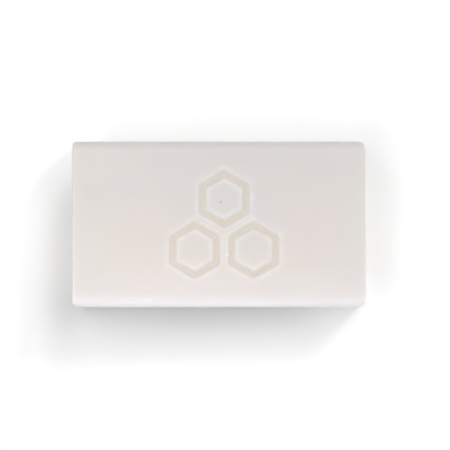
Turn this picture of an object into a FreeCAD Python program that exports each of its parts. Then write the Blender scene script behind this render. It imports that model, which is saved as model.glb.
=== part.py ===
"""Bar of soap: one solid block, cut from a rounded extrusion, with three hexagonal cells stamped in its face.

The origin is at the middle of the underside. +X runs along the bar, +Y across it and +Z up through the face.
The two long edges of the face are rolled over softly, and so are those of the underside. The ends are plain
cuts with eased arrises, and the +X end is cut a little off square. The stamp is a triangle of three closed
shallow grooves with sloping walls, soft rims and a flat floor. Each groove leaves an island at the face's level.
"""

import FreeCAD, Part
import math
import os

import Sketcher

# Driving dimensions in millimetres, and degrees where the name says so.
SIZES = [
    ("bar_length", 85.0, "length of the bar along its longer side"),
    ("bar_width", 48.0, "width across the face"),
    ("bar_height", 25.0, "thickness, underside to face"),
    ("end_skew", 0.3, "how much shorter the far side is, as the +X end is cut off square"),
    ("shoulder_radius", 3.6, "roll of the two long edges of the face"),
    ("base_radius", 3.0, "roll of the two long edges of the underside"),
    ("end_edge_radius", 1.0, "eased arris all round each cut end"),
    ("cell_width", 15.0, "one stamped cell, flat to flat across its groove"),
    ("cell_gap", 2.0, "ridge left between neighbouring cells"),
    ("cell_corner_radius", 2.0, "outer corners of a cell"),
    ("island_corner_radius", 0.9, "corners of the island inside a cell"),
    ("groove_width", 2.4, "width of the groove at the face"),
    ("groove_depth", 0.5, "depth of the groove"),
    ("groove_draft_deg", 50.0, "slope of the groove's walls from upright"),
    ("rim_radius", 0.8, "soft edge where a groove meets the face"),
    ("trough_radius", 0.8, "soft edge where a groove's walls meet its floor"),
    ("stamp_shift", 1.5, "how far the stamp sits from the middle, along the bar"),
]
CELLS = 3
SIDES = 6
# A point this near a plane, in millimetres, lies on it.
TOUCH = 1e-4
# The triangle's centre lies below the middle of its overall height by this share of the cells' pitch.
CENTRE_DROP = 1 / (4 * math.sqrt(3))


def make_sheet(doc):
    """Writes the driving dimensions into a spreadsheet, one aliased cell each."""
    sheet = doc.addObject("Spreadsheet::Sheet", "Sizes")
    for row, (alias, value, note) in enumerate(SIZES, start=1):
        sheet.set(f"A{row}", alias)
        sheet.set(f"B{row}", str(value))
        sheet.set(f"C{row}", note)
        sheet.setAlias(f"B{row}", alias)
    doc.recompute()
    return sheet


def plane_of(body, role):
    """One of the body's own origin planes, by its role."""
    return next(f for f in body.Origin.OriginFeatures if f.Role == role)


def new_sketch(body, name):
    """An empty sketch on the body's own XY plane."""
    sketch = body.newObject("Sketcher::SketchObject", name)
    sketch.AttachmentSupport = (plane_of(body, "XY_Plane"), [""])
    sketch.MapMode = "FlatFace"
    return sketch


def bind(sketch, name, constraint, formula):
    """Adds a named driving constraint and ties it to the sheet."""
    sketch.renameConstraint(sketch.addConstraint(constraint), name)
    sketch.setExpression(f"Constraints.{name}", formula)


def draw_plan(body, sheet):
    """The bar seen from above: a rectangle whose +X end leans by the skew."""
    sketch = new_sketch(body, "plan")
    right = sheet.bar_length / 2
    back = sheet.bar_width / 2
    corners = [(-right, -back), (right, -back), (right - sheet.end_skew, back), (-right, back)]
    for start, end in zip(corners, corners[1:] + corners[:1]):
        sketch.addGeometry(Part.LineSegment(FreeCAD.Vector(*start, 0), FreeCAD.Vector(*end, 0)))
    front, right_end, rear, left_end = range(4)
    for side, following in ((front, right_end), (right_end, rear), (rear, left_end), (left_end, front)):
        sketch.addConstraint(Sketcher.Constraint("Coincident", side, 2, following, 1))
    sketch.addConstraint(Sketcher.Constraint("Horizontal", rear))
    sketch.addConstraint(Sketcher.Constraint("Symmetric", front, 1, front, 2, -2))
    sketch.addConstraint(Sketcher.Constraint("Symmetric", left_end, 1, left_end, 2, -1))
    length = Sketcher.Constraint("DistanceX", front, 1, front, 2, sheet.bar_length)
    bind(sketch, "length", length, "Sizes.bar_length")
    width = Sketcher.Constraint("DistanceY", left_end, 2, left_end, 1, sheet.bar_width)
    bind(sketch, "width", width, "Sizes.bar_width")
    skew = Sketcher.Constraint("DistanceX", right_end, 2, right_end, 1, sheet.end_skew)
    bind(sketch, "skew", skew, "Sizes.end_skew")
    return sketch


def draw_hexagon(sketch, centre_y, across, corner):
    """Adds a hexagon with rounded corners. Returns its inscribed circle, its first side and its first arc."""
    apothem = across / 2
    turn = 2 * math.pi / SIDES
    centre = FreeCAD.Vector(0, centre_y, 0)
    up = FreeCAD.Vector(0, 0, 1)
    circle = sketch.addGeometry(Part.Circle(centre, up, apothem), True)
    half_side = (apothem - corner) * math.tan(turn / 2)
    sides = []
    arcs = []
    for k in range(SIDES):
        out = FreeCAD.Vector(math.cos(k * turn), math.sin(k * turn), 0)
        along = FreeCAD.Vector(-out.y, out.x, 0)
        middle = centre + out * apothem
        start = middle - along * half_side
        end = middle + along * half_side
        sides.append(sketch.addGeometry(Part.LineSegment(start, end)))
        pivot = end - out * corner
        swing = Part.Circle(pivot, up, corner)
        arcs.append(sketch.addGeometry(Part.ArcOfCircle(swing, k * turn, (k + 1) * turn)))
    for k in range(SIDES):
        sketch.addConstraint(Sketcher.Constraint("Tangent", sides[k], 2, arcs[k], 1))
        sketch.addConstraint(Sketcher.Constraint("Tangent", arcs[k], 2, sides[(k + 1) % SIDES], 1))
        sketch.addConstraint(Sketcher.Constraint("Tangent", sides[k], circle))
    for k in range(1, SIDES):
        sketch.addConstraint(Sketcher.Constraint("Equal", arcs[0], arcs[k]))
        sketch.addConstraint(Sketcher.Constraint("Angle", arcs[k], turn))
    return circle, sides[0], arcs[0]


def draw_cell_loop(body, sheet, name, across, corner):
    """One hexagonal loop of the first cell, at the level of the face, about the middle of the triangle."""
    sketch = new_sketch(body, name)
    pitch = "(Sizes.cell_width + Sizes.cell_gap)"
    sketch.setExpression(".AttachmentOffset.Base.x", "Sizes.stamp_shift")
    sketch.setExpression(".AttachmentOffset.Base.y", f"-{pitch} * {CENTRE_DROP}")
    sketch.setExpression(".AttachmentOffset.Base.z", "Sizes.bar_height")
    across_formula, across_value = across
    corner_formula, corner_value = corner
    reach = (sheet.cell_width + sheet.cell_gap) / math.sqrt(3)
    circle, side, arc = draw_hexagon(sketch, reach, across_value, corner_value)
    sketch.addConstraint(Sketcher.Constraint("Vertical", side))
    sketch.addConstraint(Sketcher.Constraint("PointOnObject", circle, 3, -2))
    height = Sketcher.Constraint("DistanceY", -1, 1, circle, 3, reach)
    bind(sketch, "reach", height, f"{pitch} / sqrt(3)")
    bind(sketch, "across", Sketcher.Constraint("Diameter", circle, across_value), across_formula)
    bind(sketch, "corner", Sketcher.Constraint("Radius", arc, corner_value), corner_formula)
    return sketch


def edges_where(shape, test):
    """Names of the edges whose two ends and middle all pass the test."""
    names = []
    for number, edge in enumerate(shape.Edges, start=1):
        middle = edge.valueAt((edge.FirstParameter + edge.LastParameter) / 2)
        if all(test(point) for point in [vertex.Point for vertex in edge.Vertexes] + [middle]):
            names.append(f"Edge{number}")
    return names


def round_edges(body, name, base, edges, formula):
    """Rounds the named edges of a feature by a radius from the sheet."""
    fillet = body.newObject("PartDesign::Fillet", name)
    fillet.Base = (base, edges)
    fillet.setExpression("Radius", formula)
    body.Document.recompute()
    return fillet


def make_block(body, sheet):
    """The plain block with its long edges rolled and its cut ends eased."""
    block = body.newObject("PartDesign::Pad", "block")
    block.Profile = draw_plan(body, sheet)
    block.setExpression("Length", "Sizes.bar_height")
    body.Document.recompute()
    top = sheet.bar_height
    half_width = sheet.bar_width / 2

    def on_long_side(point):
        return abs(abs(point.y) - half_width) < TOUCH

    shoulders = edges_where(block.Shape, lambda p: on_long_side(p) and abs(p.z - top) < TOUCH)
    rolled = round_edges(body, "shoulders", block, shoulders, "Sizes.shoulder_radius")
    base_edges = edges_where(rolled.Shape, lambda p: on_long_side(p) and abs(p.z) < TOUCH)
    rolled = round_edges(body, "base_edges", rolled, base_edges, "Sizes.base_radius")

    def on_an_end(point):
        lean = sheet.end_skew * (point.y + half_width) / sheet.bar_width
        ends = (-sheet.bar_length / 2, sheet.bar_length / 2 - lean)
        return any(abs(point.x - end) < TOUCH for end in ends)

    end_edges = edges_where(rolled.Shape, on_an_end)
    round_edges(body, "end_edges", rolled, end_edges, "Sizes.end_edge_radius")


def press_cell(body, sheet):
    """The first cell: a pocket that narrows on its way down, and an island standing in it that widens."""
    hollow_width = ("Sizes.cell_width", sheet.cell_width)
    hollow_corner = ("Sizes.cell_corner_radius", sheet.cell_corner_radius)
    hollow_outline = draw_cell_loop(body, sheet, "hollow_outline", hollow_width, hollow_corner)
    hollow = body.newObject("PartDesign::Pocket", "hollow")
    hollow.Profile = hollow_outline
    hollow.setExpression("Length", "Sizes.groove_depth")
    hollow.setExpression("TaperAngle", "-Sizes.groove_draft_deg")
    body.Document.recompute()
    inner_width = sheet.cell_width - 2 * sheet.groove_width
    island_width = ("Sizes.cell_width - 2 * Sizes.groove_width", inner_width)
    island_corner = ("Sizes.island_corner_radius", sheet.island_corner_radius)
    island_outline = draw_cell_loop(body, sheet, "island_outline", island_width, island_corner)
    island = body.newObject("PartDesign::Pad", "island")
    island.Profile = island_outline
    island.Reversed = True
    island.setExpression("Length", "Sizes.groove_depth")
    island.setExpression("TaperAngle", "Sizes.groove_draft_deg")
    body.Document.recompute()
    return hollow_outline, hollow, island


def stamp_cells(body, sheet):
    """Turns the first cell into a triangle of three, then softens every rim and the foot of every wall."""
    outline, hollow, island = press_cell(body, sheet)
    cells = body.newObject("PartDesign::PolarPattern", "cells")
    cells.Originals = [hollow, island]
    cells.Axis = (outline, ["N_Axis"])
    cells.Angle = 360
    cells.Occurrences = CELLS
    body.Tip = cells
    body.Document.recompute()
    face = sheet.bar_height
    centre_y = -(sheet.cell_width + sheet.cell_gap) * CENTRE_DROP
    reach = (2 * sheet.cell_width + sheet.cell_gap) / math.sqrt(3)

    def inside_stamp(point):
        return math.hypot(point.x - sheet.stamp_shift, point.y - centre_y) < reach

    floor = face - sheet.groove_depth
    feet = edges_where(cells.Shape, lambda p: inside_stamp(p) and abs(p.z - floor) < TOUCH)
    softened = round_edges(body, "troughs", cells, feet, "Sizes.trough_radius")
    rims = edges_where(softened.Shape, lambda p: inside_stamp(p) and abs(p.z - face) < TOUCH)
    round_edges(body, "rims", softened, rims, "Sizes.rim_radius")


def main():
    """Builds the bar, checks every object and writes the solid."""
    doc = FreeCAD.newDocument("soap_bar")
    sheet = make_sheet(doc)
    body = doc.addObject("PartDesign::Body", "soap_bar")
    body.Label = "soap_bar"
    make_block(body, sheet)
    stamp_cells(body, sheet)
    doc.recompute()
    for item in doc.Objects:
        if {"Invalid", "Error"} & set(item.State):
            raise RuntimeError(f"{item.Label} failed: {item.State}")
    if body.Shape.isNull() or not body.Shape.isValid() or len(body.Shape.Solids) != 1:
        raise RuntimeError("soap_bar is not one valid solid")
    os.makedirs("parts", exist_ok=True)
    body.Shape.exportStep(f"parts/{body.Label}.step")
    print(f"{body.Label}: {body.Shape.Volume / 1000:.2f} cm3, {len(body.Shape.Faces)} faces")


main()
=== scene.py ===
"""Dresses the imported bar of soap: a worn, hand-cut bar of milled white soap, seen from straight above.

The bar replaces its CAD node and keeps its form. It starts as a copy of the node, is given an even skin of
small faces, and is then worn: the cut ends wave a little, the stamp's rims stand proud, an edge is bruised,
corners are worn, a shallow dent lies near one end, and a crumb sticks to the face. One finish dresses it.

Sizes and places on the bar and on the table are in millimetres, and MM turns them into metres. The lamps'
distances and widths and the table's own width are in metres. The frame is the CAD's: +X along the bar, +Y
across it, +Z up, origin under its middle.
"""

from __future__ import annotations

import logging
import math
import random
from dataclasses import dataclass, field
from enum import Enum
from functools import reduce
from typing import Mapping, Sequence, Union

import bpy
import numpy as np
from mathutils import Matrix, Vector

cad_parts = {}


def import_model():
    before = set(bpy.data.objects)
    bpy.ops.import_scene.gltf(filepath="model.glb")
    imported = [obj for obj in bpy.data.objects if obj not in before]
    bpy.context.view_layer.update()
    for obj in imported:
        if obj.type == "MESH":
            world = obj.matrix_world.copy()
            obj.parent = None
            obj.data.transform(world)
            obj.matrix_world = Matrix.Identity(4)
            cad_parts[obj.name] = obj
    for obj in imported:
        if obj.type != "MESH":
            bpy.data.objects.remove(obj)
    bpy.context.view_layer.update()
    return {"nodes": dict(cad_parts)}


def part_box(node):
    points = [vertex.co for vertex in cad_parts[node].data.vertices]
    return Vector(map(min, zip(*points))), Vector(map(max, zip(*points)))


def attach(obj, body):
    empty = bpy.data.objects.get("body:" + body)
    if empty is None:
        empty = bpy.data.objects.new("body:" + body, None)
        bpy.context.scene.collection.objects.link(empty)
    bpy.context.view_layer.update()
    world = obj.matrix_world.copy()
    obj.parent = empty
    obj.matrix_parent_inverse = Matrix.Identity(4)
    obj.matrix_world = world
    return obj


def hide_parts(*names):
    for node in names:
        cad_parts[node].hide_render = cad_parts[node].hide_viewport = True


LOG = logging.getLogger("soap")
MM = 0.001
NEAR_WIDTH = 0.1
NEAR_DISTANCE = 0.15
SEEN_BY = ("Is Camera Ray", "Is Glossy Ray", "Is Transmission Ray")
Triple = tuple[float, float, float]
Colour = Triple
WHITE: Colour = (1.0, 1.0, 1.0)


class Lights(Enum):
    """What a lamp lights."""

    ALL = "bar and table"
    BAR = "bar alone"


@dataclass(frozen=True)
class Stamp:
    """The three hexagonal cells pressed into the face, in millimetres.

    Attributes:
        cell_width: One cell, flat to flat across its groove.
        cell_gap: The ridge between neighbouring cells.
        groove_width: Width of the groove at the face.
        shift: How far the stamp sits from the middle, along the bar.
    """

    cell_width: float = 15.0
    cell_gap: float = 2.0
    groove_width: float = 2.4
    shift: float = 1.5

    @property
    def pitch(self) -> float:
        """Distance between the middles of neighbouring cells."""
        return self.cell_width + self.cell_gap

    @property
    def centres(self) -> list[tuple[float, float]]:
        """The middles of the three cells: one above two."""
        rise = self.pitch * math.sqrt(3) / 4
        half = self.pitch / 2
        return [(self.shift, rise), (self.shift - half, -rise), (self.shift + half, -rise)]

    def rim_distance(self, x: Number, y: Number) -> Number:
        """How far each point lies outside the nearest groove. One formula serves the mesh and the finish.

        Args:
            x: Places along the bar, in millimetres.
            y: Places across it.

        Returns:
            Distance to the nearest groove's edge, in millimetres, and less than 0 inside a groove.
        """
        middle = (self.cell_width - self.groove_width) / 2
        turns = [math.radians(angle) for angle in (0, 60, 120)]
        distances = []
        for centre_x, centre_y in self.centres:
            along = x - centre_x
            across = y - centre_y
            sides = [abs(along * math.cos(turn) + across * math.sin(turn)) for turn in turns]
            distances.append(abs(reduce(larger, sides) - middle) - self.groove_width / 2)
        return reduce(smaller, distances)


@dataclass(frozen=True)
class Dent:
    """One worn place on the skin, in millimetres from the middle of the underside.

    Attributes:
        centre: Middle of the place.
        reach: How far it spreads along each axis.
        depth: How deep it goes at its middle.
        grain: Size of its roughness, or 0 for a smooth hollow.
    """

    centre: Triple
    reach: Triple
    depth: float
    grain: float = 0.0


@dataclass(frozen=True)
class Crumb:
    """A crumb of soap stuck to the skin.

    Attributes:
        centre: Its middle, in millimetres from the middle of the underside.
        radius: Its size, in millimetres.
    """

    centre: Triple
    radius: float


class Field:
    """A value or colour in a material: one output socket, with Python's operators as Math nodes."""

    def __init__(self, shader: Shader, socket: bpy.types.NodeSocket) -> None:
        """Wraps a socket of a shader's tree."""
        self.shader = shader
        self.socket = socket

    def math(self, operation: str, *others: Input) -> Field:
        """A Math node on this value and others."""
        return self.shader.node("ShaderNodeMath", {"operation": operation}, (self, *others))

    def __add__(self, other: Input) -> Field:
        """This value plus another."""
        return self.math("ADD", other)

    __radd__ = __add__

    def __sub__(self, other: Input) -> Field:
        """This value less another."""
        return self.math("SUBTRACT", other)

    def __rsub__(self, other: float) -> Field:
        """A number less this value."""
        return self.shader.node("ShaderNodeMath", {"operation": "SUBTRACT"}, (other, self))

    def __mul__(self, other: Input) -> Field:
        """This value times another."""
        return self.math("MULTIPLY", other)

    __rmul__ = __mul__

    def __truediv__(self, other: Input) -> Field:
        """This value over another."""
        return self.math("DIVIDE", other)

    def __abs__(self) -> Field:
        """This value with no sign."""
        return self.math("ABSOLUTE")

    def rising(self, low: float, high: float) -> Field:
        """A soft step between two values.

        Args:
            low: Where it is 0. It may be the larger one, and the step then falls.
            high: Where it is 1.

        Returns:
            The step, from 0 to 1.
        """
        limits = (self, min(low, high), max(low, high))
        ends = (0.0, 1.0) if low < high else (1.0, 0.0)
        return self.shader.node("ShaderNodeMapRange", {"interpolation_type": "SMOOTHSTEP"}, (*limits, *ends))


Input = Union[Field, float, Sequence[float]]
Number = Union[Field, np.ndarray]


def larger(one: Number, other: Number) -> Number:
    """The larger of two values, in a material or in an array."""
    return one.math("MAXIMUM", other) if isinstance(one, Field) else np.maximum(one, other)


def smaller(one: Number, other: Number) -> Number:
    """The smaller of two values, in a material or in an array."""
    return one.math("MINIMUM", other) if isinstance(one, Field) else np.minimum(one, other)


class Shader:
    """A node tree, written as expressions: a new material's, or one that is given."""

    def __init__(self, name: str, tree: bpy.types.NodeTree | None = None) -> None:
        """Starts with no nodes.

        Args:
            name: Name for a new material.
            tree: A tree to write in, where no material is wanted.
        """
        self.material = None
        if tree is None:
            self.material = bpy.data.materials.new(name)
            self.material.use_nodes = True
            tree = self.material.node_tree
        self.tree = tree
        self.tree.nodes.clear()

    def node(
        self,
        kind: str,
        settings: Mapping[str, object] | None = None,
        inputs: Sequence[Input] | Mapping[Union[int, str], Input] = (),
        output: Union[int, str] = 0,
    ) -> Field:
        """Adds a node.

        Args:
            kind: Its type.
            settings: Its own properties, such as a Math node's operation.
            inputs: What its sockets take, in order or by name: values, or fields to link.
            output: The socket to read.

        Returns:
            The field that it gives.
        """
        made = self.tree.nodes.new(kind)
        for name, value in (settings or {}).items():
            setattr(made, name, value)
        pairs = inputs.items() if isinstance(inputs, Mapping) else enumerate(inputs)
        for name, value in pairs:
            if isinstance(value, Field):
                self.tree.links.new(value.socket, made.inputs[name])
            else:
                made.inputs[name].default_value = value
        return Field(self, made.outputs[output]) if len(made.outputs) else Field(self, made.inputs[0])

    def mix(self, amount: Input, under: Input, over: Input) -> Field:
        """One colour over another, by an amount from 0 to 1."""
        inputs = {0: amount, 6: self.opaque(under), 7: self.opaque(over)}
        return self.node("ShaderNodeMix", {"data_type": "RGBA"}, inputs, output=2)

    @staticmethod
    def opaque(colour: Input) -> Input:
        """A plain colour with its alpha of 1. A field stays as it is."""
        return colour if isinstance(colour, Field) else (*colour, 1.0)

    def millimetres(self) -> Field:
        """Where a point of the piece lies, in millimetres."""
        place = self.node("ShaderNodeTexCoord", output="Object")
        return self.node("ShaderNodeVectorMath", {"operation": "SCALE"}, {0: place, "Scale": 1 / MM})

    def split(self, vector: Field) -> tuple[Field, Field, Field]:
        """The three parts of a vector."""
        outputs = self.node("ShaderNodeSeparateXYZ", inputs=(vector,)).socket.node.outputs
        return Field(self, outputs[0]), Field(self, outputs[1]), Field(self, outputs[2])

    def stretched(self, vector: Field, sizes: Triple, shift: Triple = (0, 0, 0)) -> Field:
        """Places measured in lumps.

        Args:
            vector: Places in millimetres.
            sizes: Size of a lump along each axis, in millimetres.
            shift: How far the lumps are moved, so that two patterns differ.

        Returns:
            The places, where 1 is one lump.
        """
        scale = [1 / size for size in sizes]
        moved = self.node("ShaderNodeVectorMath", {"operation": "ADD"}, (vector, tuple(shift)))
        return self.node("ShaderNodeVectorMath", {"operation": "MULTIPLY"}, (moved, tuple(scale)))

    def noise(self, vector: Field, detail: float = 2.0, roughness: float = 0.5) -> Field:
        """Soft noise about 0.5, one lump to each unit of the vector."""
        inputs = {"Vector": vector, "Scale": 1.0, "Detail": detail, "Roughness": roughness}
        return self.node("ShaderNodeTexNoise", inputs=inputs)

    def shown(self, mirrored: float) -> Field:
        """How much of a glow is seen. It is never light that falls on the bar.

        Args:
            mirrored: How much of it a sheen shows.

        Returns:
            1 to the camera and through glass, less in a sheen, and 0 elsewhere.
        """
        outputs = self.node("ShaderNodeLightPath").socket.node.outputs
        camera, glossy, through = (Field(self, outputs[name]) for name in SEEN_BY)
        return larger(larger(camera, through), glossy * mirrored)


@dataclass(frozen=True)
class Spot:
    """A soft round place, in millimetres: a speck, a tint, painted light or painted shade in the face, or
    painted light on the table.

    Attributes:
        x: Its place along the bar.
        y: Its place across it.
        reach: How far it spreads along the bar and across it.
        colour: Its colour in the face.
        strength: How much of the soap's own colour it hides at its middle, or on the table how much painted
            light it adds.
    """

    x: float
    y: float
    reach: tuple[float, float]
    colour: Colour = WHITE
    strength: float = 1.0

    def away(self, x: Field, y: Field) -> Field:
        """How far a place lies from its middle.

        Args:
            x: The place along the bar, in millimetres.
            y: The place across it.

        Returns:
            The distance, where 1 is its reach.
        """
        along = (x - self.x) / self.reach[0]
        across = (y - self.y) / self.reach[1]
        return (along * along + across * across).math("SQRT")


@dataclass(frozen=True)
class SoapFinish:
    """Milled white soap: warm white with faint cream, pink and grey clouds, satin, and translucent, with
    painted light and shade.

    Attributes:
        soap: Its colour where nothing else shows.
        grey: Colour of its faint mottling.
        blush: Colour of its fainter, finer mottling.
        groove: Colour of the pressed grooves.
        rim: Colour of the painted highlight along the stamp's rims.
        edge: Colour of the painted sheen along the long edges, paler and cooler than the soap.
        grey_lumps: Size of the grey mottling along each axis, in millimetres.
        blush_lumps: Size of the blush mottling.
        front_band: How far from the front edge the painted sheen begins, and where it is full.
        rear_band: The same at the rear edge.
        foot_band: The same above the table.
        rear_painted_sheen: How strong the painted sheen on the rear edge is.
        foot_painted_sheen: How strong the painted sheen at the foot is.
        rim_reach: How far the painted highlight spreads from a groove.
        faintest_rim_highlight: How pale the painted highlight is where it is faintest.
        least_beige: How beige a groove is where it is cleanest.
        patchiness: How much the painted highlight on the rims and the grit of the grooves vary.
        roughness: Sheen of the pressed faces.
        cut_roughness: Sheen of the cut ends.
        groove_roughness: How much duller a groove is than the face.
        uneven_sheen: How much the sheen varies.
        streak_height: Height of the streaks drawn along the pressed faces.
        pore_height: Height of their pores.
        cut_height: Height of the lines on the cut ends.
        grit_height: Height of the grit in the grooves.
        translucency: Share of the light that spreads inside.
        spread: How far it spreads, in millimetres, for each colour.
        clouds: Wide faint tints, some of them painted light and some painted shade.
        specks: Small marks.
    """

    soap: Colour = (0.757, 0.724, 0.703)
    grey: Colour = (0.727, 0.701, 0.682)
    blush: Colour = (0.778, 0.711, 0.697)
    groove: Colour = (0.762, 0.700, 0.634)
    rim: Colour = (0.820, 0.795, 0.785)
    edge: Colour = (0.806, 0.784, 0.778)
    grey_lumps: Triple = (16.0, 6.0, 6.0)
    blush_lumps: Triple = (6.0, 3.5, 3.5)
    front_band: tuple[float, float] = (5.5, 1.0)
    rear_band: tuple[float, float] = (4.5, 1.0)
    foot_band: tuple[float, float] = (4.0, 1.0)
    rear_painted_sheen: float = 0.5
    foot_painted_sheen: float = 0.4
    rim_reach: float = 2.0
    faintest_rim_highlight: float = 0.25
    least_beige: float = 0.6
    patchiness: float = 0.6
    roughness: float = 0.42
    cut_roughness: float = 0.55
    groove_roughness: float = 0.15
    uneven_sheen: float = 0.16
    streak_height: float = 0.006
    pore_height: float = 0.004
    cut_height: float = 0.05
    grit_height: float = 0.05
    translucency: float = 0.8
    spread: Triple = (2.0, 1.85, 1.7)
    clouds: Sequence[Spot] = ()
    specks: Sequence[Spot] = ()

    def make(self, stamp: Stamp, half_width: float, height: float) -> bpy.types.Material:
        """Makes the material.

        Args:
            stamp: The cells in the face.
            half_width: Half the bar's width, in millimetres.
            height: The bar's height.

        Returns:
            The material, patterned by Object coordinates.
        """
        shader = Shader("milled_soap")
        place = shader.millimetres()
        x, y, z = shader.split(place)
        facing = shader.node("ShaderNodeNewGeometry", output="Normal")
        cut_end = abs(shader.split(facing)[0]).rising(0.55, 0.9)
        upper = z.rising(height - 4.0, height - 2.0)
        rim_distance = stamp.rim_distance(x, y)
        sunk = rim_distance.rising(0.15, -0.6) * upper
        colour = self.tint(shader, place, x, y)
        colour = self.paint_edge_sheen(shader, colour, y, z, half_width)
        colour = self.dress_stamp(shader, colour, place, rim_distance, sunk, upper)
        colour = self.add_specks(shader, colour, place, x, y, upper)
        height_map = self.grain(shader, place, cut_end, sunk)
        bump = shader.node("ShaderNodeBump", inputs={"Height": height_map, "Distance": MM, "Strength": 1.0})
        inputs = {
            "Base Color": colour,
            "Roughness": self.sheen(shader, place, cut_end, sunk),
            "Normal": bump,
            "IOR": 1.46,
            "Subsurface Weight": self.translucency,
            "Subsurface Radius": self.spread,
            "Subsurface Scale": MM,
        }
        surface = shader.node("ShaderNodeBsdfPrincipled", inputs=inputs)
        shader.node("ShaderNodeOutputMaterial", inputs={"Surface": surface})
        return shader.material

    def tint(self, shader: Shader, place: Field, x: Field, y: Field) -> Field:
        """Mottles the soap's own colour a little along the bar, and adds its wide clouds, some of them
        painted light and shade.

        Args:
            shader: The material's tree.
            place: Where a point lies, in millimetres.
            x: The same along the bar.
            y: The same across it.

        Returns:
            The colour.
        """
        grey = shader.noise(shader.stretched(place, self.grey_lumps), detail=4, roughness=0.6)
        blush = shader.noise(shader.stretched(place, self.blush_lumps, (31, 7, 2)), detail=3, roughness=0.6)
        colour = shader.mix(grey.rising(0.5, 0.85), self.soap, self.grey)
        colour = shader.mix(blush.rising(0.45, 0.8) * 0.6, colour, self.blush)
        for cloud in self.clouds:
            cover = cloud.away(x, y).rising(1.0, 0.0) * cloud.strength
            colour = shader.mix(cover, colour, cloud.colour)
        return colour

    def paint_edge_sheen(self, shader: Shader, colour: Field, y: Field, z: Field, half_width: float) -> Field:
        """Paints a sheen on the long edges: paler and cooler, the front one most.

        Args:
            shader: The material's tree.
            colour: The colour so far.
            y: Where a point lies across the bar, in millimetres.
            z: How high it lies.
            half_width: Half the bar's width.

        Returns:
            The colour.
        """
        # Painted sheen: the long edges and the foot are paler and cooler, the front edge most.
        front = y.rising(self.front_band[0] - half_width, self.front_band[1] - half_width)
        rear = y.rising(half_width - self.rear_band[0], half_width - self.rear_band[1]) * self.rear_painted_sheen
        foot = z.rising(*self.foot_band) * self.foot_painted_sheen
        return shader.mix(larger(larger(front, rear), foot), colour, self.edge)

    def dress_stamp(
        self, shader: Shader, colour: Field, place: Field, rim_distance: Field, sunk: Field, upper: Field
    ) -> Field:
        """Gives the stamp beige grooves, a little gritty, and a painted highlight along their rims.

        Args:
            shader: The material's tree.
            colour: The colour so far.
            place: Where a point lies, in millimetres.
            rim_distance: How far it lies outside the nearest groove.
            sunk: 1 in the grooves.
            upper: 1 on the upper part of the bar.

        Returns:
            The colour.
        """
        grit = shader.noise(shader.stretched(place, (0.9, 0.9, 0.9)), detail=3, roughness=0.6)
        # Painted highlight: the rims are paler, in patches.
        highlight_noise = shader.noise(shader.stretched(place, (3.0, 2.2, 2.2)), detail=3, roughness=0.6)
        highlight_patches = highlight_noise.rising(0.3, 0.75)
        rim = rim_distance.rising(-0.4, 0.1) * rim_distance.rising(self.rim_reach, 0.2) * upper
        colour = shader.mix(rim * (self.faintest_rim_highlight + self.patchiness * highlight_patches), colour, self.rim)
        return shader.mix(sunk * (self.least_beige + self.patchiness * grit), colour, self.groove)

    def add_specks(
        self, shader: Shader, colour: Field, place: Field, x: Field, y: Field, upper: Field
    ) -> Field:
        """Adds the specks and the pinhole to the face, each a little ragged.

        Args:
            shader: The material's tree.
            colour: The colour so far.
            place: Where a point lies, in millimetres.
            x: The same along the bar.
            y: The same across it.
            upper: 1 on the upper part of the bar.

        Returns:
            The colour.
        """
        ragged = shader.noise(shader.stretched(place, (0.35, 0.35, 0.35)), detail=2) - 0.5
        for speck in self.specks:
            cover = (speck.away(x, y) + ragged).rising(1.0, 0.4) * upper * speck.strength
            colour = shader.mix(cover, colour, speck.colour)
        return colour

    def sheen(self, shader: Shader, place: Field, cut_end: Field, sunk: Field) -> Field:
        """Makes the pressed faces satin, and the cut ends and the grooves duller.

        Args:
            shader: The material's tree.
            place: Where a point lies, in millimetres.
            cut_end: 1 on the cut ends.
            sunk: 1 in the grooves.

        Returns:
            The roughness.
        """
        patches = shader.noise(shader.stretched(place, (9, 6, 6)), detail=3)
        smooth = self.roughness + self.uneven_sheen * (patches - 0.5)
        duller = cut_end * (self.cut_roughness - self.roughness)
        return smooth + duller + sunk * self.groove_roughness

    def grain(self, shader: Shader, place: Field, cut_end: Field, sunk: Field) -> Field:
        """Draws the skin's finest marks: streaks and pores, cut lines and the grooves' grit.

        Args:
            shader: The material's tree.
            place: Where a point lies, in millimetres.
            cut_end: 1 on the cut ends.
            sunk: 1 in the grooves.

        Returns:
            Their height, in millimetres.
        """
        streaks = shader.noise(shader.stretched(place, (22, 0.5, 0.5)), detail=3)
        pores = shader.noise(shader.stretched(place, (0.6, 0.6, 0.6)), detail=2)
        cuts = shader.noise(shader.stretched(place, (0.8, 14, 0.45)), detail=3)
        grit = shader.noise(shader.stretched(place, (0.45, 0.45, 0.45), (7, 3, 1)), detail=3)
        pressed = (streaks * self.streak_height + pores * self.pore_height) * (1 - cut_end)
        return pressed + cuts * cut_end * self.cut_height + grit * sunk * self.grit_height


def deselect_all() -> None:
    """Leaves object mode with nothing selected."""
    if bpy.context.object and bpy.context.object.mode != "OBJECT":
        bpy.ops.object.mode_set(mode="OBJECT")
    bpy.ops.object.select_all(action="DESELECT")


def make_active(piece: bpy.types.Object) -> None:
    """Selects one object alone and makes it the active one.

    Args:
        piece: The object.
    """
    deselect_all()
    piece.select_set(True)
    bpy.context.view_layer.objects.active = piece


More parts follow.
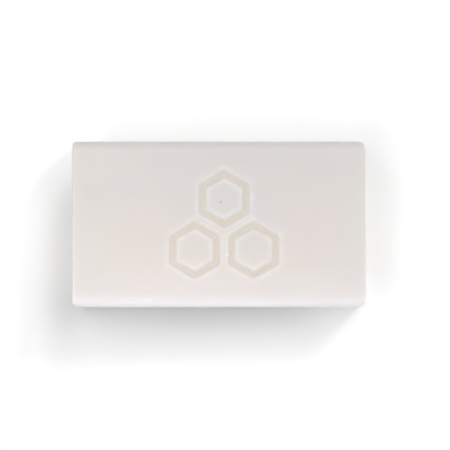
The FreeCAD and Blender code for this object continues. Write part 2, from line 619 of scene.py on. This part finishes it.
@dataclass
class SoapBar:
    """The bar, as one skin of small even faces.

    Attributes:
        stamp: The cells in its face.
        grain: Size of the skin's faces before they are thinned, in millimetres.
        most_triangles: Most triangles in the finished skin.
        end_wave: How far the hand-cut ends wave, in millimetres.
        end_lumps: Size of those waves.
        end_drag: How deep the cutter's drag marks are.
        drag_lumps: Size of the drag marks.
        face_wave: How far the pressed faces wave.
        face_lumps: Size of those waves.
        lip: How far the stamp's rims stand above the face.
        lip_width: How far that lip spreads from a groove.
        dents: The worn places.
        crumbs: What is stuck to the face.
    """

    stamp: Stamp = Stamp()
    grain: float = 0.25
    most_triangles: int = 190_000
    end_wave: float = 0.12
    end_lumps: float = 14.0
    end_drag: float = 0.05
    drag_lumps: float = 1.2
    face_wave: float = 0.05
    face_lumps: float = 9.0
    lip: float = 0.05
    lip_width: float = 1.0
    dents: list[Dent] = field(default_factory=list)
    crumbs: list[Crumb] = field(default_factory=list)

    def build(self, node: bpy.types.Object) -> bpy.types.Object:
        """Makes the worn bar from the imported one.

        Args:
            node: The CAD node that the bar stands for.

        Returns:
            The finished bar, with its place in its mesh.
        """
        piece = bpy.data.objects.new("bar", node.data.copy())
        bpy.context.scene.collection.objects.link(piece)
        piece.data.materials.clear()
        self.close_seams(piece)
        self.add_crumbs(piece)
        self.remesh(piece)
        self.wave(piece)
        self.raise_lips(piece)
        for number, dent in enumerate(self.dents):
            self.wear(piece, f"dent_{number}", dent)
        self.thin(piece)
        make_active(piece)
        bpy.ops.object.shade_smooth()
        LOG.info("bar: %d vertices, %d faces", len(piece.data.vertices), len(piece.data.polygons))
        return piece

    def close_seams(self, piece: bpy.types.Object) -> None:
        """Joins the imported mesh's loose triangles into one closed skin.

        Args:
            piece: The bar.
        """
        make_active(piece)
        bpy.ops.object.mode_set(mode="EDIT")
        bpy.ops.mesh.select_all(action="SELECT")
        bpy.ops.mesh.remove_doubles(threshold=MM / 1000)
        bpy.ops.object.mode_set(mode="OBJECT")

    def add_crumbs(self, piece: bpy.types.Object) -> None:
        """Sets rough little balls half into the skin, which the remesh then grows into it.

        Args:
            piece: The bar.
        """
        rng = random.Random(4)
        lumps = []
        for crumb in self.crumbs:
            deselect_all()
            place = Vector(crumb.centre) * MM
            bpy.ops.mesh.primitive_ico_sphere_add(subdivisions=3, radius=crumb.radius * MM, location=place)
            lump = bpy.context.object
            lump.rotation_euler = (rng.uniform(0, 3), rng.uniform(0, 3), rng.uniform(0, 3))
            lump.scale = (rng.uniform(0.8, 1.2), rng.uniform(0.6, 1.0), rng.uniform(0.6, 0.9))
            lumps.append(lump)
        deselect_all()
        for lump in lumps:
            lump.select_set(True)
        piece.select_set(True)
        bpy.context.view_layer.objects.active = piece
        if lumps:
            bpy.ops.object.join()

    def remesh(self, piece: bpy.types.Object) -> None:
        """Gives the bar an even skin, fine enough for the stamp's rims.

        Args:
            piece: The bar.
        """
        make_active(piece)
        modifier = piece.modifiers.new("skin", "REMESH")
        modifier.mode = "VOXEL"
        modifier.voxel_size = self.grain * MM
        modifier.adaptivity = 0
        bpy.ops.object.modifier_apply(modifier=modifier.name)

    def displace(
        self,
        piece: bpy.types.Object,
        name: str,
        weights: np.ndarray,
        depth: float,
        size: float,
        hard: bool = False,
    ) -> None:
        """Presses the skin in along its normal, by a cloud of lumps or evenly.

        Args:
            piece: The bar.
            name: Name for the vertex group and the cloud.
            weights: How much each vertex takes part, from 0 to 1.
            depth: Deepest that it goes, in millimetres.
            size: Size of the cloud's lumps, in millimetres, or 0 for an even press.
            hard: True for lumps with sharp edges.
        """
        group = piece.vertex_groups.new(name=name)
        taking = np.nonzero(weights > 0.001)[0]
        levels = np.round(weights[taking] * 255).astype(int)
        for level in np.unique(levels):
            members = taking[levels == level].tolist()
            group.add(members, level / 255, "REPLACE")
        make_active(piece)
        modifier = piece.modifiers.new(name, "DISPLACE")
        modifier.vertex_group = name
        modifier.direction = "NORMAL"
        if size:
            cloud = bpy.data.textures.new(name, "CLOUDS")
            cloud.noise_scale = size * MM
            cloud.noise_depth = 2
            cloud.noise_type = "HARD_NOISE" if hard else "SOFT_NOISE"
            modifier.texture = cloud
            modifier.texture_coords = "LOCAL"
            modifier.mid_level = 1.0
            modifier.strength = depth * MM
        else:
            modifier.mid_level = 0.0
            modifier.strength = -depth * MM
        bpy.ops.object.modifier_apply(modifier=modifier.name)
        piece.vertex_groups.remove(piece.vertex_groups[name])

    def places(self, piece: bpy.types.Object) -> np.ndarray:
        """Reads every vertex's place.

        Args:
            piece: The bar.

        Returns:
            One row to a vertex, in millimetres.
        """
        flat = np.zeros(len(piece.data.vertices) * 3, np.float32)
        piece.data.vertices.foreach_get("co", flat)
        return flat.reshape(-1, 3) / MM

    def normals(self, piece: bpy.types.Object) -> np.ndarray:
        """Reads every vertex's normal.

        Args:
            piece: The bar.

        Returns:
            One row to a vertex.
        """
        flat = np.zeros(len(piece.data.vertices) * 3, np.float32)
        piece.data.vertex_normals.foreach_get("vector", flat)
        return flat.reshape(-1, 3)

    def wave(self, piece: bpy.types.Object) -> None:
        """Lets the hand-cut ends and the pressed faces wave.

        Args:
            piece: The bar.
        """
        towards = np.abs(self.normals(piece))
        self.displace(piece, "end_wave", towards[:, 0] ** 2, self.end_wave, self.end_lumps)
        towards = np.abs(self.normals(piece))
        self.displace(piece, "end_drag", towards[:, 0] ** 4, self.end_drag, self.drag_lumps)
        towards = np.abs(self.normals(piece))
        self.displace(piece, "face_wave", 1 - towards[:, 0] ** 2, self.face_wave, self.face_lumps)

    def raise_lips(self, piece: bpy.types.Object) -> None:
        """Sinks the face a little away from the grooves, so that the stamp's rims stand proud.

        Args:
            piece: The bar.
        """
        place = self.places(piece)
        upward = self.normals(piece)[:, 2]
        away = self.stamp.rim_distance(place[:, 0], place[:, 1])
        away = np.clip(away / self.lip_width, 0, 1)
        sunk = away * away * (3 - 2 * away) * np.clip(upward, 0, 1) ** 2
        self.displace(piece, "lip", sunk, self.lip, 0)

    def wear(self, piece: bpy.types.Object, name: str, dent: Dent) -> None:
        """Presses one worn place into the skin.

        Args:
            piece: The bar.
            name: Name for its vertex group and its cloud.
            dent: The place.
        """
        offset = (self.places(piece) - np.array(dent.centre)) / np.array(dent.reach)
        away = np.clip(1 - np.sqrt((offset**2).sum(axis=1)), 0, 1)
        weights = away * away * (3 - 2 * away)
        self.displace(piece, name, weights, dent.depth, dent.grain, hard=dent.grain > 0)

    def thin(self, piece: bpy.types.Object) -> None:
        """Merges faces where the skin is flat, down to most_triangles.

        Args:
            piece: The bar.
        """
        triangles = sum(len(face.vertices) - 2 for face in piece.data.polygons)
        make_active(piece)
        modifier = piece.modifiers.new("thin", "DECIMATE")
        modifier.ratio = min(1.0, self.most_triangles / triangles)
        bpy.ops.object.modifier_apply(modifier=modifier.name)


@dataclass(frozen=True)
class Lamp:
    """A round soft lamp that looks at the bar.

    Attributes:
        name: Its name.
        azimuth: Where it stands, in degrees round from +X towards +Y.
        elevation: How high it stands, in degrees.
        size: Its width, in metres.
        strength: Light that it throws on a card that faces it. A white card renders as white at pi / 4.
        distance: How far it stands from the bar, in metres.
        colour: Its colour.
        lights: What it lights.
    """

    name: str
    azimuth: float
    elevation: float
    size: float
    strength: float
    distance: float = 1.0
    colour: Colour = WHITE
    lights: Lights = Lights.ALL

    def place(self) -> bpy.types.Object:
        """Adds the lamp, aimed at the bar.

        Returns:
            The lamp.
        """
        angle = math.radians(self.azimuth)
        height = math.radians(self.elevation)
        level = math.cos(height)
        way = Vector((math.cos(angle) * level, math.sin(angle) * level, math.sin(height)))
        bpy.ops.object.light_add(type="AREA", location=way * self.distance)
        lamp = bpy.context.object
        lamp.name = self.name
        lamp.data.shape = "DISK"
        lamp.data.size = self.size
        lamp.visible_camera = False
        lamp.data.color = self.colour
        lamp.data.energy = self.strength * 4 * math.pi * self.distance**2
        # With light linking, a lamp that is also found by stray rays is counted too strongly.
        lamp.data.cycles.use_multiple_importance_sampling = False
        lamp.rotation_euler = way.to_track_quat("Z", "Y").to_euler()
        return lamp


@dataclass(frozen=True)
class Camera:
    """The photograph's view: straight down, a little off the bar's middle.

    Attributes:
        frame_width: What the picture takes in at the height of the bar's face, in millimetres.
        shift_x: How far the camera stands from the bar's middle, along the bar, in millimetres.
        shift_y: The same, across the bar.
        face_height: Height at which the frame is measured, in millimetres.
        lens: Focal length, in millimetres.
        sensor: Width of the camera's sensor, in millimetres.
        nearest: Nearest that it sees, in metres.
    """

    frame_width: float = 129.9
    shift_x: float = 1.73
    shift_y: float = -0.17
    face_height: float = 24.3
    lens: float = 300.0
    sensor: float = 36.0
    nearest: float = 0.01

    def place(self) -> None:
        """Adds the camera and makes it the scene's own."""
        above = self.face_height + self.frame_width * self.lens / self.sensor
        place = Vector((self.shift_x, self.shift_y, above)) * MM
        bpy.ops.object.camera_add(location=place, rotation=(0, 0, 0))
        camera = bpy.context.object
        camera.name = "camera"
        camera.data.lens = self.lens
        camera.data.sensor_width = self.sensor
        camera.data.clip_start = self.nearest
        bpy.context.scene.camera = camera


@dataclass(frozen=True)
class Studio:
    """A pale table in soft light, which ends in white.

    Attributes:
        lamps: The lamps.
        painted_light_spots: Painted light: brighter places on the table, each as strong as what is added at
            its middle.
        ambient: Strength of the light from all round.
        mirrored: How white the surroundings look in the soap's sheen.
        card: How pale the table is.
        glow_in_painted_shadow: What the camera sees added to the table at the bar's foot, less than farther
            out: a painted shadow round the bar.
        glow: What is added to that at painted_shadow_reach.
        painted_shadow_reach: How far from the bar that is, in millimetres, and so how far the painted shadow
            reaches.
        white_reach: How far from the bar the table starts to turn white, and where it is white.
        size: Width of the table, in metres.
    """

    lamps: Sequence[Lamp]
    painted_light_spots: Sequence[Spot]
    ambient: float = 0.08
    mirrored: float = 0.28
    card: float = 0.9
    glow_in_painted_shadow: float = 0.150
    glow: float = 0.205
    painted_shadow_reach: float = 20.0
    white_reach: tuple[float, float] = (80.0, 400.0)
    size: float = 4.0

    def light(self, bar: bpy.types.Object) -> None:
        """Adds the lamps and the light from all round.

        Args:
            bar: The bar, which some lamps light alone.
        """
        bar_alone = bpy.data.collections.new("bar_alone")
        bar_alone.objects.link(bar)
        for lamp in self.lamps:
            placed = lamp.place()
            if lamp.lights is Lights.BAR:
                placed.light_linking.receiver_collection = bar_alone
        world = bpy.data.worlds.new("white")
        bpy.context.scene.world = world
        world.use_nodes = True
        shader = Shader("white", world.node_tree)
        strength = larger(shader.shown(self.mirrored), self.ambient)
        inputs = {"Color": shader.opaque(WHITE), "Strength": strength}
        background = shader.node("ShaderNodeBackground", inputs=inputs)
        shader.node("ShaderNodeOutputWorld", inputs={"Surface": background})

    def lay_table(self, half_length: float, half_width: float) -> None:
        """Adds the table under the bar, which keeps the bar's shadow, has a painted shadow round its foot
        and painted light in places, and ends in white.

        Args:
            half_length: Half the bar's length, in millimetres.
            half_width: Half its width.
        """
        bpy.ops.mesh.primitive_plane_add(size=self.size)
        table = bpy.context.object
        table.name = "table"
        shader = Shader("table")
        x, y, _ = shader.split(shader.millimetres())
        beside = larger(abs(x) - half_length, 0.0)
        before = larger(abs(y) - half_width, 0.0)
        away = (beside * beside + before * before).math("SQRT")
        # Painted shadow: the glow is lowest at the bar's foot and rises over painted_shadow_reach.
        glow = self.glow_in_painted_shadow + self.glow * away.rising(0.0, self.painted_shadow_reach)
        # Painted light: brighter places added to the table's glow.
        for painted_spot in self.painted_light_spots:
            glow = glow + painted_spot.away(x, y).rising(1.0, 0.0) * painted_spot.strength
        glow = glow + (1 - self.glow_in_painted_shadow - self.glow) * away.rising(*self.white_reach)
        card = shader.node("ShaderNodeBsdfDiffuse", inputs={"Color": shader.opaque((self.card,) * 3)})
        white = shader.node("ShaderNodeEmission", inputs={"Strength": shader.shown(self.mirrored) * glow})
        surface = shader.node("ShaderNodeAddShader", inputs=(card, white))
        shader.node("ShaderNodeOutputMaterial", inputs={"Surface": surface})
        table.data.materials.append(shader.material)


def near_lamp(
    name: str,
    azimuth: float,
    elevation: float,
    strength: float,
    colour: Colour = WHITE,
    lights: Lights = Lights.BAR,
) -> Lamp:
    """A small lamp close by, which lights the bar alone unless it is told otherwise."""
    return Lamp(name, azimuth, elevation, NEAR_WIDTH, strength, NEAR_DISTANCE, colour, lights)


# The bruise on the front edge, the worn corners, and the shallow dent near one end.
DENTS = [
    Dent(centre=(-25.2, -23.4, 23.6), reach=(3.4, 2.2, 2.4), depth=0.3, grain=0.9),
    Dent(centre=(-21.6, -23.2, 24.0), reach=(3.2, 1.9, 1.8), depth=0.35, grain=0.7),
    Dent(centre=(-19.4, -22.6, 24.6), reach=(1.8, 1.4, 1.2), depth=0.25, grain=0.5),
    Dent(centre=(42.5, -24.0, 14.0), reach=(3.4, 2.2, 40.0), depth=0.38),
    Dent(centre=(-42.5, -24.0, 14.0), reach=(3.0, 1.8, 40.0), depth=0.45),
    Dent(centre=(42.3, 24.0, 14.0), reach=(2.4, 2.4, 40.0), depth=0.3),
    Dent(centre=(35.5, 19.7, 25.0), reach=(5.0, 3.6, 2.0), depth=0.1),
]
CRUMBS = [
    Crumb(centre=(2.6, -8.7, 24.88), radius=0.32),
    Crumb(centre=(3.0, -8.1, 24.90), radius=0.18),
]
CHALK = (0.90, 0.89, 0.90)
SHADE = (0.72, 0.69, 0.69)
CREAM = (0.789, 0.728, 0.674)
PINK = (0.785, 0.713, 0.694)
MOSS = (0.745, 0.735, 0.700)
# Painted shade: the darker tint for the face's middle and rear.
PAINTED_SHADE_TINT = (0.735, 0.706, 0.688)
# Painted light: the paler tint for the face's front, upper left and lower right.
PAINTED_LIGHT_TINT = (0.808, 0.768, 0.742)
# Wide tints in the face. The cream, pink and moss ones are the soap's own colour; the darker grey ones are
# painted shade, in the middle and towards the rear, and the paler ones painted light, towards the front, at
# the upper left and at the lower right.
CLOUDS = [
    Spot(x=-6.0, y=-9.0, reach=(46.0, 24.0), colour=CREAM, strength=0.6),
    Spot(x=-23.0, y=-5.0, reach=(22.0, 17.0), colour=CREAM, strength=0.4),
    Spot(x=23.0, y=-1.0, reach=(22.0, 18.0), colour=PINK, strength=0.65),
    Spot(x=0.0, y=-17.0, reach=(42.0, 8.0), colour=PINK, strength=0.45),
    Spot(x=20.0, y=-13.0, reach=(16.0, 7.0), colour=CREAM, strength=0.4),
    Spot(x=-22.0, y=4.0, reach=(16.0, 6.0), colour=PINK, strength=0.3),
    Spot(x=6.0, y=2.0, reach=(30.0, 16.0), colour=PAINTED_SHADE_TINT, strength=0.8),
    Spot(x=8.0, y=20.0, reach=(36.0, 11.0), colour=PAINTED_SHADE_TINT, strength=0.5),
    Spot(x=39.0, y=4.0, reach=(8.0, 22.0), colour=MOSS, strength=0.4),
    Spot(x=-36.0, y=8.0, reach=(10.0, 10.0), colour=MOSS, strength=0.2),
    Spot(x=29.0, y=-19.0, reach=(20.0, 9.0), colour=PAINTED_LIGHT_TINT, strength=0.7),
    Spot(x=-33.0, y=18.0, reach=(16.0, 10.0), colour=PAINTED_LIGHT_TINT, strength=0.35),
    Spot(x=-4.0, y=-18.0, reach=(50.0, 10.0), colour=PAINTED_LIGHT_TINT, strength=0.7),
]
# The pinhole and specks, the crumb, faint stains, and the bruise's chalky flakes and their shadows.
SPECKS = [
    Spot(x=0.46, y=6.4, reach=(0.32, 0.32), colour=(0.10, 0.07, 0.05), strength=0.75),
    Spot(x=10.7, y=-1.2, reach=(0.3, 0.25), colour=(0.30, 0.29, 0.28), strength=0.35),
    Spot(x=7.4, y=-13.4, reach=(0.3, 0.3), colour=(0.45, 0.38, 0.30), strength=0.3),
    Spot(x=11.0, y=-14.4, reach=(0.45, 0.3), colour=(0.48, 0.41, 0.33), strength=0.3),
    Spot(x=13.0, y=-13.2, reach=(0.3, 0.35), colour=(0.45, 0.38, 0.30), strength=0.25),
    Spot(x=-24.4, y=13.3, reach=(0.35, 0.35), colour=(0.50, 0.47, 0.44), strength=0.25),
    Spot(x=2.6, y=-8.7, reach=(0.55, 0.6), colour=CHALK, strength=0.8),
    Spot(x=32.2, y=-16.3, reach=(1.1, 0.4), colour=(0.70, 0.60, 0.58), strength=0.25),
    Spot(x=-13.0, y=-5.5, reach=(0.8, 0.6), colour=(0.74, 0.60, 0.47), strength=0.4),
    Spot(x=-25.8, y=-22.6, reach=(1.8, 0.8), colour=CHALK, strength=0.35),
    Spot(x=-24.8, y=-21.7, reach=(0.9, 0.4), colour=SHADE, strength=0.25),
    Spot(x=-23.0, y=-22.7, reach=(2.6, 0.7), colour=CHALK, strength=0.45),
    Spot(x=-21.9, y=-21.8, reach=(0.8, 0.35), colour=SHADE, strength=0.25),
    Spot(x=-20.2, y=-22.2, reach=(1.0, 1.1), colour=CHALK, strength=0.4),
    Spot(x=-21.4, y=-22.3, reach=(0.6, 0.9), colour=CHALK, strength=0.35),
]
# Painted light on the table: where it is brighter than its lamps make it.
PAINTED_LIGHT_SPOTS = [
    Spot(x=42.0, y=-26.0, reach=(25.0, 15.0), strength=0.17),
    Spot(x=-42.0, y=20.0, reach=(12.0, 17.0), strength=0.18),
    Spot(x=-30.0, y=-27.0, reach=(26.0, 10.0), strength=0.04),
]
COOL = (0.96, 0.965, 1.0)
LAMPS = [
    Lamp("key", azimuth=45, elevation=45, size=0.2, strength=0.155),
    Lamp("key_back", azimuth=75, elevation=45, size=0.2, strength=0.075),
    Lamp("top", azimuth=45, elevation=75, size=0.5, strength=0.155),
    Lamp("back_left", azimuth=135, elevation=55, size=0.5, strength=0.145),
    Lamp("left", azimuth=180, elevation=55, size=0.5, strength=0.081),
    near_lamp("low_right", azimuth=335, elevation=20, strength=0.145, lights=Lights.ALL),
    near_lamp("low_left", azimuth=180, elevation=20, strength=0.074, lights=Lights.ALL),
    near_lamp("front", azimuth=270, elevation=20, strength=0.19, colour=COOL),
    near_lamp("front_low", azimuth=270, elevation=9, strength=0.07, colour=COOL),
    near_lamp("right_low", azimuth=0, elevation=9, strength=0.02),
    near_lamp("left_low", azimuth=190, elevation=9, strength=0.035),
    near_lamp("front_left", azimuth=225, elevation=32, strength=0.086),
    near_lamp("high_left", azimuth=225, elevation=60, strength=0.072),
    near_lamp("high_right", azimuth=315, elevation=60, strength=0.043),
]


def main() -> None:
    """Builds the bar, its finish and the studio."""
    logging.basicConfig(level=logging.INFO, format="%(name)s: %(message)s")
    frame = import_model()
    low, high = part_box("soap_bar")
    half_length = (high.x - low.x) / 2 / MM
    half_width = (high.y - low.y) / 2 / MM
    height = high.z / MM
    stamp = Stamp()
    bar = SoapBar(stamp=stamp, dents=DENTS, crumbs=CRUMBS).build(frame["nodes"]["soap_bar"])
    bar.data.materials.append(SoapFinish(clouds=CLOUDS, specks=SPECKS).make(stamp, half_width, height))
    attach(bar, "root")
    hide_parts("soap_bar")
    studio = Studio(lamps=LAMPS, painted_light_spots=PAINTED_LIGHT_SPOTS)
    studio.lay_table(half_length, half_width)
    studio.light(bar)
    Camera().place()
    bpy.context.scene.view_settings.view_transform = "Standard"


if __name__ == "__main__":
    main()
